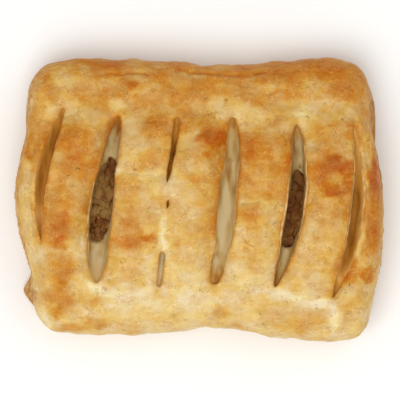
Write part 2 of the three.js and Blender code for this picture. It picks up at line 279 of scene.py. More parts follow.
def crust_height(x, y):
    """Height of the crust over a place, as if no side or end rolled over."""
    arch = CROWN - ARCH_DROP * np.abs(y / ARCH_SPAN) ** ARCH_POWER
    share = clamp01(0.5 + (arch - ROLL_TOP) / (2 * CREASE_FILLET))
    height = ROLL_TOP + (arch - ROLL_TOP) * share + CREASE_FILLET * share * (1 - share)
    long_fall = LONG_FALL * (x / LONG_SPAN) ** 2
    over_end = smoothstep(END_FALL_FROM, END_FALL_TO, np.abs(x))
    end_fall = END_FALL * over_end * (1 - np.abs(y) / END_FALL_FADE)
    return height - long_fall - end_fall - droop(x, y) + swell(x, y)


def end_reach(end, y, z):
    """How far a cut end reaches from the middle, over the place y, z."""
    strip, strip_at, strip_span = end.strip
    flap, flap_at, flap_span = end.flap
    bulge = strip * bent(y - strip_at, strip_span) * bell(z - STRIP_HEIGHT, STRIP_TALL)
    tear = flap * bell(y - flap_at, flap_span) * bell(z, FLAP_TALL)
    hollow = HOLLOW_DEPTH * bell(z - HOLLOW_HEIGHT, HOLLOW_TALL)
    return end.stand + end.slant * y + bulge + tear - hollow


def leaf_relief(row, y, z):
    """How far the leaves of dough stand out of a cut end: rows that follow the arch above and the tray
    below."""
    row = row + 0.3 * grain(y, z, 0 * z, 7.0, 3)
    ridge = np.cos(np.pi * row) * 0.5 + 0.3 * np.cos(np.pi * 2.6 * row + 1.3)
    return LEAF_STEP * ridge * (1 + 0.7 * grain(y, z, 0 * y, 3.1, 4))


def drawn_in(station, radius):
    """How far a rounded edge of that radius is drawn in at a station, and how far into it that is."""
    into = clamp01((station - (HALF_LENGTH - radius)) / radius)
    return radius * (1 - np.sqrt(np.maximum(1 - into * into, 0))), into


def rolled_over(y, side, top):
    """Height of the skin over a place on a cut end, where the side rolls over from that top."""
    over = clamp01((np.abs(y) - ROLL_START) / (side - ROLL_START))
    return BULGE_HEIGHT + (top - BULGE_HEIGHT) * (1 - over**ROLL_POWER) ** (1 / ROLL_POWER)


def parcel(x, y, z):
    """The parcel before it is slit, over the places x, y, z: the distance outside its skin (negative
    inside), the depth below the skin that rolls over its sides and ends, the distance past a cut end,
    the row of leaves that a cut end shows there, and the height of the crust over the place."""
    left = x < 0
    reach = np.where(left, end_reach(LEFT_END, y, z), end_reach(RIGHT_END, y, z))
    station = np.abs(x)
    for _ in range(5):
        pulled = smoothstep(HALF_LENGTH - END_PULL, HALF_LENGTH, station)
        station = np.abs(x) - pulled * (reach - HALF_LENGTH)
    signed = np.where(left, -station, station)
    back = y > 0
    corner = np.where(
        left,
        np.where(back, LEFT_END.back_corner, LEFT_END.front_corner),
        np.where(back, RIGHT_END.back_corner, RIGHT_END.front_corner),
    )
    top = crust_height(signed, y) - drawn_in(station, END_EDGE_RADIUS)[0]
    at_corner, into_corner = drawn_in(station, corner)
    side = np.where(back, side_reach(BACK, signed), side_reach(FRONT, signed)) - at_corner
    side = side + dimples(signed, z)
    inset = BASE_INSET + (END_BASE_INSET - BASE_INSET) * into_corner
    up = z >= BULGE_HEIGHT
    height = np.where(up, top - BULGE_HEIGHT, BULGE_HEIGHT)
    over = np.abs(z - BULGE_HEIGHT) / height
    start = np.where(up, ROLL_START, side - inset)
    out = np.maximum(np.abs(y) - start, 0) / (side - start)
    power = np.where(up, ROLL_POWER, UNDERSIDE_POWER)
    radius = np.maximum((out**power + over**power) ** (1 / power), 1e-3)
    across = (out / radius) ** (power - 1) / (side - start)
    upright = (over / radius) ** (power - 1) / height
    section = (radius - 1) / (np.sqrt(across**2 + upright**2) + 1e-6)
    row = LEAVES * z / rolled_over(y, side, top)
    past_end = station - HALF_LENGTH - leaf_relief(row, y, z) * smoothstep(0.5, 3.0, -section)
    outside = rounded_max(section, past_end, END_ROUNDING)
    return outside, -section, past_end, row, top


def spindle(cut, x, y):
    """Below 1 where the dough leaves the filling open to view, over the places x, y."""
    _, line, half_gap = slit_line(cut, y)
    first, last = cut.shows
    off_line = (x - line) / np.maximum(half_gap * SPINDLE_WIDTH, 0.3)
    off_middle = (y - (first + last) / 2) / ((last - first) / 2)
    ragged = roughened(0, x, y, 0 * x, [(0.14, 2.6, 14), (0.1, 1.1, 15)])
    return np.hypot(off_line - SPINDLE_LEAN * off_middle, off_middle) + ragged


def slit_floor(cut, t, x, y, surface):
    """Height of a slit's bottom over the places x, y. Where the filling shows, the dough round it leaves
    a spindle open."""
    if cut.shows:
        past = smoothstep(0.86, 1.1, spindle(cut, x, y))
        floor = OPEN_FLOOR + (surface - DOUGH_FLOOR - OPEN_FLOOR) * past
    else:
        floor = cut.floor + abs(cut.climb) * smoothstep(0.05, 0.5, -math.copysign(1, cut.climb) * t)
    tip = surface - TIP_DEPTH
    lower = -rounded_max(-floor, -tip, TIP_FILLET)
    return lower + (tip - lower) * clamp01(np.abs(t)) ** 5


def slit_wall(cut, x, y, z):
    """The middle and the half width of a slit at a height, and its floor."""
    t, line, half_gap = slit_line(cut, y)
    surface = crust_height(line, y)
    floor = slit_floor(cut, t, x, y, surface)
    share = clamp01((z - floor) / np.maximum(surface - floor, 0.5))
    ragged = 0.22 * grain(0 * y + cut.middle, y, z, 3.4, 11) + 0.1 * grain(y, 0 * y, z, 1.5, 12)
    wide = np.minimum(1, cut.gap / 4) * ragged * (half_gap > 0)
    borders_end = abs(cut.middle) > END_SLIT_FROM
    narrowing = END_FLOOR_NARROWING if borders_end else FLOOR_NARROWING
    half = half_gap * (narrowing + (1 - narrowing) * share)
    aside = math.copysign(1, cut.middle) * (half_gap - half) if borders_end else 0
    return line - aside, half + wide, floor


def slit_cut(cut, x, y, z):
    """How far a place lies outside the cut of one slit: negative in the cut."""
    middle, half, floor = slit_wall(cut, x, y, z)
    return rounded_max(np.abs(x - middle) - half, floor - z, FLOOR_FILLET)


def loaf(x, y, z, grow):
    """How far a place lies outside the filling, which is grown all round by that many millimetres."""
    half_length = FILLING.half_length + grow
    u = clamp01(np.abs(x) / half_length)
    girth = np.maximum((1 - u**5) ** 0.4, 0.04)
    up = z >= FILLING.waist
    height = np.where(up, FILLING.top - FILLING.waist, FILLING.waist - FILLING.bottom) + grow
    across = np.abs(y) / ((FILLING.half_width + grow) * girth)
    upright = np.abs(z - FILLING.waist) / (height * girth)
    radius = np.maximum(np.hypot(across, np.where(up, upright, upright**2)), 1e-3)
    thinnest = np.minimum(height * girth, (FILLING.half_width + grow) * girth)
    return np.maximum((radius - 1) * thinnest, np.abs(x) - half_length)


def surface_net(field, low, pitch):
    """The points, in millimetres, and the four-sided faces of a closed skin where the field changes sign."""
    cells = np.array(field.shape) - 1
    ids, points = [], []
    for axis in range(3):
        steps = np.arange(cells[axis])
        first, second = field.take(steps, axis), field.take(steps + 1, axis)
        crossing = (first < 0) != (second < 0)
        place = np.argwhere(crossing)
        near, far = first[crossing], second[crossing]
        where = place.astype(np.float64)
        where[:, axis] += near / (near - far)
        turn, rise = (axis + 1) % 3, (axis + 2) % 3
        corners = []
        for back_turn, back_rise in ((1, 1), (0, 1), (0, 0), (1, 0)):
            cell = place.copy()
            cell[:, turn] -= back_turn
            cell[:, rise] -= back_rise
            corners.append(np.ravel_multi_index(cell.T, cells))
        quad = np.stack(corners, 1)
        outward = near < 0
        quad[~outward] = quad[~outward][:, ::-1]
        ids.append(quad)
        points.append(np.repeat(where, 4, axis=0))
    points = np.concatenate(points)
    _, index, count = np.unique(np.concatenate(ids), return_inverse=True, return_counts=True)
    index = index.ravel()
    sums = [np.bincount(index, weights=points[:, i]) for i in range(3)]
    return low + np.stack(sums, 1) / count[:, None] * pitch, index.reshape(-1, 4)


def point_normals(points, quads):
    a, b, c, d = (points[quads[:, i]] for i in range(4))
    facing = np.cross(c - a, d - b)
    normals = np.zeros_like(points)
    for i in range(3):
        for corner in range(4):
            normals[:, i] += np.bincount(quads[:, corner], weights=facing[:, i], minlength=len(points))
    return normals / np.maximum(np.linalg.norm(normals, axis=1, keepdims=True), 1e-9)


def mesh_object(name, points, faces, attributes=None, edges=()):
    """A piece from points in millimetres, with smooth faces and one number per point for each attribute."""
    mesh = bpy.data.meshes.new(name)
    mesh.from_pydata(points * MM, edges, faces)
    for key, values in (attributes or {}).items():
        layer = mesh.attributes.new(key, "FLOAT", "POINT")
        layer.data.foreach_set("value", np.ascontiguousarray(values, np.float32))
    mesh.shade_smooth()
    piece = bpy.data.objects.new(name, mesh)
    bpy.context.scene.collection.objects.link(piece)
    return piece


def baked(piece):
    """Turns a piece's modifiers into plain mesh."""
    graph = bpy.context.evaluated_depsgraph_get()
    mesh = bpy.data.meshes.new_from_object(piece.evaluated_get(graph))
    piece.modifiers.clear()
    old = piece.data
    piece.data = mesh
    bpy.data.meshes.remove(old)
    mesh.name = piece.name
    return piece


def thinned(piece, triangles):
    """Brings a piece under a number of triangles: flat stretches lose theirs first."""
    count = sum(len(face.vertices) - 2 for face in piece.data.polygons)
    if count > triangles:
        modifier = piece.modifiers.new("thin", "DECIMATE")
        modifier.ratio = triangles / count
        baked(piece)
    return piece


# Where the oven browned the skin most: x, y, half width, half height and strength of each patch
SCORCHES = [
    (42.4, 8.6, 6.8, 7, 0.36), (44.8, 11.6, 4.4, 2.6, 0.28), (48.2, 7, 1.4, 5, 0.16),
    (43, 2.9, 4.8, 1.6, 0.2), (3.6, 20.6, 4.6, 3.6, 0.31), (14.6, 16.6, 2.4, 4.4, 0.2),
    (19, 15, 5.4, 6, 0.14), (57, 7.6, 3, 4.8, 0.3), (57.6, 14, 2, 5, 0.24), (54.3, -24.2, 2.8, 2.4, 0.3),
    (-22.6, -13.7, 5.4, 2.4, 0.24), (-41.5, 6, 7, 20, 0.12), (18, -12, 6, 12, 0.1), (-42, -24, 6, 8, 0.12),
    (-21, -10, 8, 9, 0.1), (56.5, -6, 4, 16, 0.12), (51, -27, 5, 8, 0.12), (-15.7, -12.1, 3.4, 1.5, 0.24),
    (-22.6, -7.2, 3.4, 2.6, 0.16), (-45.9, -10.5, 5, 7, 0.12), (-45, -20, 5, 7, 0.16),
    (-45.6, -32, 6, 6, 0.18), (-41.9, -41.9, 5, 2, 0.3), (-34.4, -39.9, 4.6, 3, 0.22),
    (-35.7, -32.4, 4, 2.4, 0.16), (-54.7, 15.4, 1.8, 2.6, 0.26), (-40.9, 42.2, 2, 1.8, 0.16),
    (-22, 36.6, 1.8, 1.2, 0.2), (-13.8, 25.9, 4.2, 2.6, 0.17), (46.4, 35.2, 4.5, 4, 0.18),
    (33, 43.5, 24, 5, 0.1), (-32.8, 45.2, 18, 1.8, 0.06), (6.2, -37.3, 4.2, 2.6, 0.16),
    (32.4, -39.3, 8, 4.5, 0.12), (57.5, -4, 3.6, 17, 0.2), (-26, 33, 20, 5, 0.06), (-39, 8, 5, 20, 0.05),
    (18.3, -22.6, 1.6, 1.8, 0.16), (-29, -20, 3.6, 5, 0.1), (24, 4, 4, 9, 0.1),
]
# Where it is paler: creases, tips of slits and sheltered hollows that stayed pale, partly painted highlight
# at the slits' tips and along the back crease
PALE_AND_LIT_SPOTS = [
    (-36.6, -13, 1.5, 12, 0.18), (-27.2, 9, 1.2, 9, 0.2), (8.6, 29.6, 5.2, 5, 0.16), (38.6, 30, 15, 5, 0.14),
    (28, -30.6, 9, 2.2, 0.16), (43.2, 6.9, 2.9, 2.9, 0.2), (40, -33.5, 5.5, 2, 0.2),
    (-34.1, -27.5, 2.8, 2.8, 0.24), (-12.1, -10.5, 1.6, 6, 0.18), (-16, -31.7, 12, 5, 0.12),
    (-43.9, 36.7, 4.4, 3, 0.1), (-27.8, 30.6, 2.8, 2.2, 0.22), (-48.3, 28.6, 1.9, 2.4, 0.1),
    (-45.9, 13.7, 2.8, 1.8, 0.16), (-8, -2, 8, 18, 0.1), (43.5, -38, 2, 5, 0.2), (22, -8, 5, 9, 0.08),
    (0, -36, 22, 6, 0.1), (-55.6, -3, 3.2, 16, 0.15), (-50, -38, 4, 5, 0.12), (46, 20, 6, 6, 0.07),
]
# Where the skin is coloured darker or paler: x, y, half width, half height and how much its browning value
# rises, or falls
SKIN_TONE_SHIFTS = [
    (-30, 27.5, 17, 5, -0.16), (-22, 17, 5, 7, -0.19), (16.4, 25.4, 5, 5, -0.2), (32.2, 25.8, 5, 4.6, -0.18),
    (-30, 42.4, 8, 4.2, 0.1), (-44.5, 41.2, 6.5, 5, -0.2), (-22, 41.6, 4.5, 4.2, -0.14),
    (36, 33.8, 20, 4.6, -0.05), (-46, 33.8, 18, 4.6, -0.05), (-38.4, -2, 4.5, 22, -0.12),
    (-38.5, -29, 5, 4.5, -0.12), (-32, -20, 9, 7, -0.08), (-28, -36.5, 13, 5, -0.1),
    (-46.8, -8.4, 4.6, 11, 0.18), (-46.6, -31.6, 4.4, 8, 0.12), (-15, -20.5, 5, 7, -0.15),
    (-15.5, 0, 4, 12, -0.05), (4, -24.5, 24, 7.5, -0.15), (0.8, 17.4, 4.6, 5, 0.1),
    (-6.8, 9.6, 4.4, 5, -0.1), (-6.6, -13, 4.4, 5, 0.12), (16, 2.5, 5, 12, 0.1), (40.4, -5.4, 4.8, 5, 0.09),
    (47.4, -22, 4.6, 6, 0.2), (47.2, -30, 4, 4, -0.1), (47.3, -37.5, 5, 5, 0.08), (47.5, 2, 3.6, 5, 0.08),
    (55, -13, 3.6, 5.2, 0.09), (18, -38, 24, 4.6, 0.07), (23.2, -13.6, 3, 6, -0.08),
]
# Cracks in the skin, where leaves of dough have parted and show pale: the points of each
PALE_CRACKS = [
    [(17.6, -29.5), (25.2, -29.9), (29, -31.8), (33.7, -33.9), (37.8, -34), (43, -33.2), (43.8, -40.2)],
    [(13.5, -1.2), (18, -0.4), (23.3, -1), (28, -2.8)],
    [(-26.4, 9), (-21, 8.6), (-14.2, 8.4)],
    [(-50.4, -15), (-46.5, -15.6), (-42.6, -15.9)],
    [(-9.9, 5.2), (-10.4, 0.6)],
    [(-10.6, -2.8), (-11.6, -8.2), (-12.6, -13), (-12.4, -16.6)],
    [(-34, -29), (-26, -31.2), (-20, -30.6)],
]
# The inner edge of the right end strip, paler because the egg wash never reached it, and with a painted
# highlight on its lit slope
PALE_LIT_RIMS = [
    [
        (51.6, 17), (53.2, 10.1), (53.9, 4.3), (54, -1.6),
        (53.8, -4.9), (53.2, -8.2), (52.4, -11.5), (50.6, -17.7),
    ],
]
# Folds in the back roll, coloured darker along their lines
DARK_FOLDS = [
    [(-8, 42), (3, 41.2), (12, 40.4), (16.6, 40.3), (21, 41.3)],
    [(-30, 40.6), (-24, 41.4), (-17, 40.9)],
]
# Where the dough inside a slit is darker, partly browned dough and partly painted shade in the narrow slits,
# and paler where the strength is negative: x, y, half width, half height and strength
DOUGH_TONES = [
    (-46, 22, 3.4, 11, 1.7), (-27.4, 25.6, 2.4, 3.6, 0.9), (-27.4, 16, 3, 5, -0.5), (-34, -22, 4, 9, -0.9),
    (-8.2, 20, 2.6, 9, 1.3), (9.8, 25.5, 3, 2.6, 0.6), (5.3, -25.8, 2.6, 2.6, 0.7),
    (23.8, -26.5, 2.6, 4, 0.9), (31.4, 17, 3, 9, 0.1), (-10.3, -1, 2, 2.4, 0.6), (-12.7, -22, 2.4, 7, -0.9),
    (8.6, 12, 1.8, 7, 0.4), (8.4, -8, 3.6, 14, -0.3), (43, -29, 3, 3, 0.7), (-52.5, -9, 4, 9, -1.4),
    (57, 28, 3, 9, 0.8), (-56, -31.5, 2.4, 3, 0.5),
]
# Corners where the layers of the dough show: x, y, half width, half height and depth
BARE_EDGES = [
    (-56.4, 32, 2.2, 10, 3), (56.6, 28, 1.6, 8, 3), (-55.6, -33, 3.4, 5, 3),
]


def patches(x, y, spots, seed):
    """Soft-edged patches, ragged because the places are shifted by a grain."""
    shifted_x = roughened(x, x, y, 0 * x, [(1.6, 4.0, seed), (0.8, 1.6, seed + 1)])
    shifted_y = roughened(y, y, x, 0 * x, [(1.6, 4.0, seed + 2), (0.8, 1.6, seed + 3)])
    total = np.zeros_like(x)
    for spot_x, spot_y, half_width, half_height, strength in spots:
        away = np.hypot((shifted_x - spot_x) / half_width, (shifted_y - spot_y) / half_height)
        total += strength * (1 - smoothstep(0.45, 1.3, away))
    return total


FAR = 99.0


def line_distance(x, y, lines):
    """Distance to the nearest of some wandering lines, seen from above."""
    near_x = roughened(x, x, y, 0 * x, [(0.7, 2.2, 31), (0.3, 0.9, 33)])
    near_y = roughened(y, x, y, 0 * x, [(0.7, 2.2, 32), (0.3, 0.9, 34)])
    nearest = np.full(x.shape, FAR)
    for line in lines:
        for (x0, y0), (x1, y1) in zip(line, line[1:]):
            run_x, run_y = x1 - x0, y1 - y0
            along = clamp01(((near_x - x0) * run_x + (near_y - y0) * run_y) / (run_x**2 + run_y**2))
            away = np.hypot(near_x - x0 - along * run_x, near_y - y0 - along * run_y)
            nearest = np.minimum(nearest, away)
    return nearest


# The wider dark rim this leaves on the left of each slit is partly painted shade of the slope there
RIGHT_RIM = 2.2  # on the right of a slit the rim is sharper, so there the distance counts more


def slit_distance(x, y):
    """Distance from the nearest slit's edge, seen from above, how much that slit's dough has browned, and
    how far down its wall the skin reaches."""
    nearest = np.full(x.shape, FAR)
    browned, brim = np.zeros(x.shape), np.zeros(x.shape)
    for cut in SLITS:
        t, line, half_gap = slit_line(cut, y)
        aside = np.maximum(np.abs(x - line) - np.maximum(half_gap, 0), 0) * np.where(x > line, RIGHT_RIM, 1)
        away = np.hypot(aside, np.minimum(half_gap, 0))
        toasted = 1.0 if cut.browned else 0.5 * smoothstep(0.7, 1.0, np.abs(t))
        browned = np.where(away < nearest, toasted, browned)
        rolled = (x < line) * cut.brim * (0.35 + 0.65 * smoothstep(-0.4, 0.6, t))
        brim = np.where(away < nearest, rolled * (away < 0.3), brim)
        nearest = np.minimum(nearest, away)
    return nearest, browned, brim


WRINKLES = [(0.18, 5.5, 21), (0.12, 2.6, 22), (0.07, 1.2, 25)]  # height, size and seed
BLISTERS = 70  # raised bubbles under the skin
BLISTER_SIZES = (2.2, 6.0)
BLISTER_HEIGHTS = (0.15, 0.5)
BLISTER_STRETCHES = (1.0, 1.7)
BLISTERED_HALF_LENGTH, BLISTERED_HALF_WIDTH = 54, 40


def skin_relief(x, y, z, upward):
    """How far the baked skin stands out of the smooth form: wrinkles and blisters."""
    draw = np.random.default_rng(5)
    relief = roughened(0, x, y, z, WRINKLES)
    for _ in range(BLISTERS):
        at_x = draw.uniform(-BLISTERED_HALF_LENGTH, BLISTERED_HALF_LENGTH)
        at_y = draw.uniform(-BLISTERED_HALF_WIDTH, BLISTERED_HALF_WIDTH)
        size, height = draw.uniform(*BLISTER_SIZES), draw.uniform(*BLISTER_HEIGHTS)
        longer, turn = draw.uniform(*BLISTER_STRETCHES), draw.uniform(0, np.pi)
        along = ((x - at_x) * np.cos(turn) + (y - at_y) * np.sin(turn)) / longer
        aside = (y - at_y) * np.cos(turn) - (x - at_x) * np.sin(turn)
        relief += height * np.exp(-((along**2 + aside**2) / size**2) ** 1.5) * (upward > 0)
    return relief


FIELD_LOW = np.array([-61.5, -49.0, -1.6])  # the corners of a box that holds the crust with some room
FIELD_HIGH = np.array([61.5, 49.0, 36.0])
SLIT_ROOM = 6.0  # how far round a slit its cut changes the crust
SLITS_ABOVE = 10.0  # lower than every slit's floor


def crust_field():
    """The slit and hollow crust as a field of distances on a lattice."""
    steps = np.ceil((FIELD_HIGH - FIELD_LOW) / VOXEL).astype(int)
    axes = [(FIELD_LOW[i] + VOXEL * np.arange(steps[i] + 1)).astype(np.float32) for i in range(3)]
    x, y, z = np.meshgrid(*axes, indexing="ij", sparse=True)
    field = parcel(x, y, z)[0]
    for cut in SLITS:
        in_y = (axes[1] > cut.front - SLIT_ROOM) & (axes[1] < cut.back + SLIT_ROOM)
        _, line, _ = slit_line(cut, axes[1][in_y])
        room = cut.gap + SLIT_ROOM
        in_x = (axes[0] > line.min() - room) & (axes[0] < line.max() + room)
        in_z = axes[2] > SLITS_ABOVE
        block = np.ix_(in_x, in_y, in_z)
        cut_field = slit_cut(cut, x[in_x], y[:, in_y], z[:, :, in_z])
        right = smoothstep(-LIP_BLEND, LIP_BLEND, x[in_x] - slit_line(cut, y[:, in_y])[1])
        lip = cut.lips[0] + (cut.lips[1] - cut.lips[0]) * right
        field[block] = rounded_max(field[block], -cut_field, lip)
    return np.maximum(field, -loaf(x, y, z, CLEARANCE + 0.05))


SKIN_EDGE_HEIGHT = 13.5  # how low the skin rolls over a bulging end strip
SKIN_OVERLAP = 2.5  # how far below the top edge it rolls beside the strip
STRIP_MARGIN = 6.0
LIP_LEAF = 1.1  # height of one leaf of dough in a slit's wall
EVEN_BROWNING, BASE_BROWNING = 0.45, 0.6
BACK_BROWNING = 0.0036  # to each millimetre towards the back
CRACK_PALING, RIM_PALING_AND_HIGHLIGHT, FOLD_DARKENING = 0.15, 0.34, 0.2
PEELINGS = [(0.5, 6.5, 71), (0.3, 2.6, 72), (0.16, 1.2, 73)]  # strength, size and seed
EVEN_PEELING, FRONT_PEELING = -0.26, 0.2
PEELED_STEP = 0.17  # thickness of the top leaf where it has flaked off
CRACK_DEPTH, CRACK_WIDTH, CRACK_LIP = 0.35, 0.3, 0.07
FOLD_DEPTH, FOLD_WIDTH, FOLD_LIP = 0.3, 0.5, 0.12


def end_skin_edge(x, y, top):
    """Height down to which the skin rolls over a cut end: low over the bulging strip, high beside it."""
    over_strip = np.zeros_like(y)
    for side, end in ((-1, LEFT_END), (1, RIGHT_END)):
        _, at, span = end.strip
        over_strip = np.where(x * side > 0, bent(y - at, span + STRIP_MARGIN) ** 0.5, over_strip)
    edge = top - SKIN_OVERLAP + (SKIN_EDGE_HEIGHT - top + SKIN_OVERLAP) * over_strip
    return edge + 1.2 * grain(x, y, 0 * x, 5.0, 16)


def make_crust():
    """The crust, with what its finish has to know of each point: how deep under the skin it lies, how much
    it browned, less where painted highlights pale it, and peeled, and which part of the parcel it belongs
    to."""
    points, quads = surface_net(crust_field(), FIELD_LOW, VOXEL)
    normals = point_normals(points, quads)
    x, y, z = points.T
    _, depth, past_end, row, top = parcel(x, y, z)
    end = smoothstep(-1.6, -0.9, past_end)
    depth = np.maximum(np.where(end > 0.5, end_skin_edge(x, y, top) - z, depth), 0)
    bare_edge = patches(x, y, BARE_EDGES, 61) * (z < 22)
    slit_edge, narrow, brim = slit_distance(x, y)
    base = 1 - smoothstep(0.3, 1.5, z)
    depth = np.maximum(depth + bare_edge - brim, 0) * (1 - base)
    on_skin = 1 - smoothstep(0.6, 1.6, depth)
    on_top = on_skin * smoothstep(0.1, 0.4, normals[:, 2])
    scorch, pale, tone_shift = (
        patches(x, y, spots, seed) * on_top
        for spots, seed in ((SCORCHES, 41), (PALE_AND_LIT_SPOTS, 51), (SKIN_TONE_SHIFTS, 56))
    )
    crack, fold, rim = (line_distance(x, y, lines) for lines in (PALE_CRACKS, DARK_FOLDS, PALE_LIT_RIMS))

    # The back browned more than the front, and the tray browned the base evenly
    # The pale spots hold painted highlights at the slits' tips and along the back crease, as well as pale
    # dough
    browning = EVEN_BROWNING + BACK_BROWNING * y + scorch - pale + tone_shift
    browning += on_top * (FOLD_DARKENING * bell(fold, FOLD_WIDTH) - CRACK_PALING * bell(crack, 1.6))
    # The rim paling is partly a painted highlight on the lit inner edge of the right end strip
    browning = (browning - RIM_PALING_AND_HIGHLIGHT * bell(rim, 1.0)) * (1 - base) + BASE_BROWNING * base
    peeled = roughened(0, x, y, z, PEELINGS)
    peeled += 0.5 * pale - 1.0 * scorch + FRONT_PEELING * smoothstep(-22, -42, y) + EVEN_PEELING
    peeled += 0.3 * bell(crack, 1.4) - 2 * base

    relief = skin_relief(x, y, z, normals[:, 2]) * on_skin
    relief -= PEELED_STEP * smoothstep(-0.03, 0.08, peeled) * on_skin
    relief += on_top * (CRACK_LIP * bell(crack - 0.9, 0.6) - CRACK_DEPTH * bell(crack, CRACK_WIDTH))
    relief += on_top * (FOLD_LIP * bell(fold - 1.2, 0.9) - FOLD_DEPTH * bell(fold, FOLD_WIDTH))
    inner = (1 - on_skin) * (1 - end)
    relief += inner * (0.1 * grain(x, y, z, 1.8, 26) + 0.12 * grain(x, y, 3 * z, 4.0, 27))
    relief *= smoothstep(0.2, 1.6, z)  # the base lies flat
    points = points + normals * relief[:, None]
    points[:, 2] = np.maximum(points[:, 2], 0)
    attributes = dict(
        depth=depth,
        leaf=np.where(end > 0.5, row, np.maximum(top - z, 0) / LIP_LEAF),
        cut_end=np.maximum(end, clamp01(bare_edge)) * (1 - on_skin),
        slit_edge=slit_edge,
        narrow=narrow,
        browning=browning,
        peeled=peeled,
        roll=smoothstep(27, 34, np.abs(y)),
        end_strip=smoothstep(47, 53, np.abs(x)) * (1 - smoothstep(24, 30, np.abs(y))),
        # how steep the surface is, from which the finish paints shade on the slits' walls
        steep=1 - smoothstep(0.35, 0.85, normals[:, 2]),
        dough_tone=patches(x, y, DOUGH_TONES, 91),
    )
    return thinned(mesh_object("crust_skin", points, quads, attributes), CRUST_TRIANGLES)


# Where the filling is paler, and darker where the strength is negative, as painted shade in its hollows: x,
# y, half width, half height and strength
PALE_FILLING = [
    (-34, -1, 2.4, 7, 0.2), (-31, -2, 2.4, 4, 0.16), (-31, 6, 3.5, 6, 0.14), (-29.4, 9, 1.6, 4.5, -0.14),
    (-35, -4.6, 1, 1.6, -0.3), (-31.4, -9.8, 1.3, 2.4, -0.25), (-34, -11, 2, 3, 0.1), (28, -3, 6, 20, -0.02),
]
CRUMBED_SPINDLE = 1.25  # crumbs lie a little further out than the slits' opening
CRUMBED_ABOVE = 15.0


def make_filling():
    """The filling's core: a loaf of crumble that the slits show from above."""
    along, around = ((260, 200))
    u, angle = np.meshgrid(
        -np.cos(np.pi * np.arange(along + 1) / along),
        2 * np.pi * np.arange(around) / around,
        indexing="ij",
    )
    girth = np.maximum(0, 1 - np.abs(u) ** 5) ** 0.4
    up = np.sin(angle)
    height = np.where(up > 0, FILLING.top - FILLING.waist, FILLING.waist - FILLING.bottom)
    x = FILLING.half_length * u
    y = FILLING.half_width * girth * np.cos(angle)
    z = FILLING.waist + np.sign(up) * height * girth * np.where(up > 0, np.abs(up), np.abs(up) ** 0.5)
    lumps = 0.9 * np.abs(grain(x, y, z, 3.2, 61)) + 0.5 * np.abs(grain(x, y, z, 1.5, 62)) - 0.2
    z = z + lumps * girth * np.maximum(up, 0)
    poles = [[side * FILLING.half_length, 0, FILLING.waist] for side in (-1, 1)]
    points = np.concatenate([np.stack([x, y, z], -1)[1:-1].reshape(-1, 3), poles])
    faces = []
    ring = np.arange(around)
    after = (ring + 1) % around
    for i in range(along - 2):
        a, b = i * around, (i + 1) * around
        faces += np.stack([a + ring, b + ring, b + after, a + after], 1).tolist()
    last = (along - 2) * around
    faces += np.stack([0 * ring + len(points) - 2, ring, after], 1).tolist()
    faces += np.stack([0 * ring + len(points) - 1, last + after, last + ring], 1).tolist()
    showing = np.zeros(len(points))
    for cut in SLITS:
        if cut.shows:
            seen = spindle(cut, points[:, 0], points[:, 1]) < CRUMBED_SPINDLE
            showing = np.maximum(showing, seen & (points[:, 2] > CRUMBED_ABOVE))
    # Where negative, these patches are painted shade in the filling's hollows
    pale = patches(points[:, 0], points[:, 1], PALE_FILLING, 95)
    return mesh_object("filling_core", points, faces, dict(showing=showing, pale=pale))


FAMILIES = ("ShaderNode", "GeometryNode", "FunctionNode", "Node")


def node(tree, kind, *inputs, stops=(), **named):
    """Adds a node, or a Math node by its operation, in capitals. Inputs come by place, or by name with a
    capital and _ for a space, and a name in small letters is a setting. An input is linked to a node or a
    socket, or to each of a list of them, or else set to the value given."""
    if kind.isupper():
        kind, named = "Math", dict(named, operation=kind)
    made = tree.nodes.new(next(family + kind for family in FAMILIES if hasattr(bpy.types, family + kind)))
    for key, value in named.items():
        if key.islower():
            setattr(made, key, value)
    names = [socket.name if socket.enabled else None for socket in made.inputs]
    given = dict(enumerate(inputs))
    given |= {names.index(key.replace("_", " ")): value for key, value in named.items() if not key.islower()}
    for place, value in given.items():
        for item in value if isinstance(value, list) else [value]:
            if isinstance(item, bpy.types.Node):
                item = next(socket for socket in item.outputs if socket.enabled)
            if isinstance(item, bpy.types.NodeSocket):
                tree.links.new(item, made.inputs[place])
            else:
                made.inputs[place].default_value = item
    for i, (place, code) in enumerate(stops):
        elements = made.color_ramp.elements
        element = elements[i] if i < 2 else elements.new(place)
        element.position = place
        element.color = linear(code)
    return made


def uneven(add, amount, **pattern):
    """A push to all sides, up to about half that amount, that follows a noise pattern."""
    noise = add("TexNoise", **pattern).outputs["Color"]
    centred = add("VectorMath", noise, (0.5,) * 3, operation="SUBTRACT")
    return add("VectorMath", centred, amount, operation="MULTIPLY")


def new_form(name, sizes):
    """A tree for shapes, what adds nodes to it, and its inputs: the geometry and each size by its name."""
    tree = bpy.data.node_groups.new(name, "GeometryNodeTree")
    for way in ("INPUT", "OUTPUT"):
        tree.interface.new_socket("Geometry", in_out=way, socket_type="NodeSocketGeometry")
    for size, value in sizes.items():
        kind = "NodeSocketInt" if isinstance(value, int) else "NodeSocketFloat"
        tree.interface.new_socket(size, in_out="INPUT", socket_type=kind).default_value = value
    add = partial(node, tree)
    return tree, add, add("GroupInput").outputs


def shaped(piece, tree, sizes):
    """Gives a piece the form that a tree makes of it, as plain mesh."""
    modifier = piece.modifiers.new(tree.name, "NODES")
    modifier.node_group = tree
    for socket in tree.interface.items_tree:
        if socket.in_out == "INPUT" and socket.name in sizes:
            modifier[socket.identifier] = sizes[socket.name]
    return baked(piece)


CRUMB_SIZES = {
    "Smallest crumb": 2.2 * MM, "Largest crumb": 6.0 * MM, "Crumb spacing": 1.6 * MM,
    "Crumb relief": 0.7, "Crumb flatness": 0.16, "Seed": 7,
}
CRUMB_SHAPES = 6
CRUMB_TILT = 0.25  # in radians, to either side
MOST_CRUMBS = 3e6  # to a square metre, which the spacing thins out


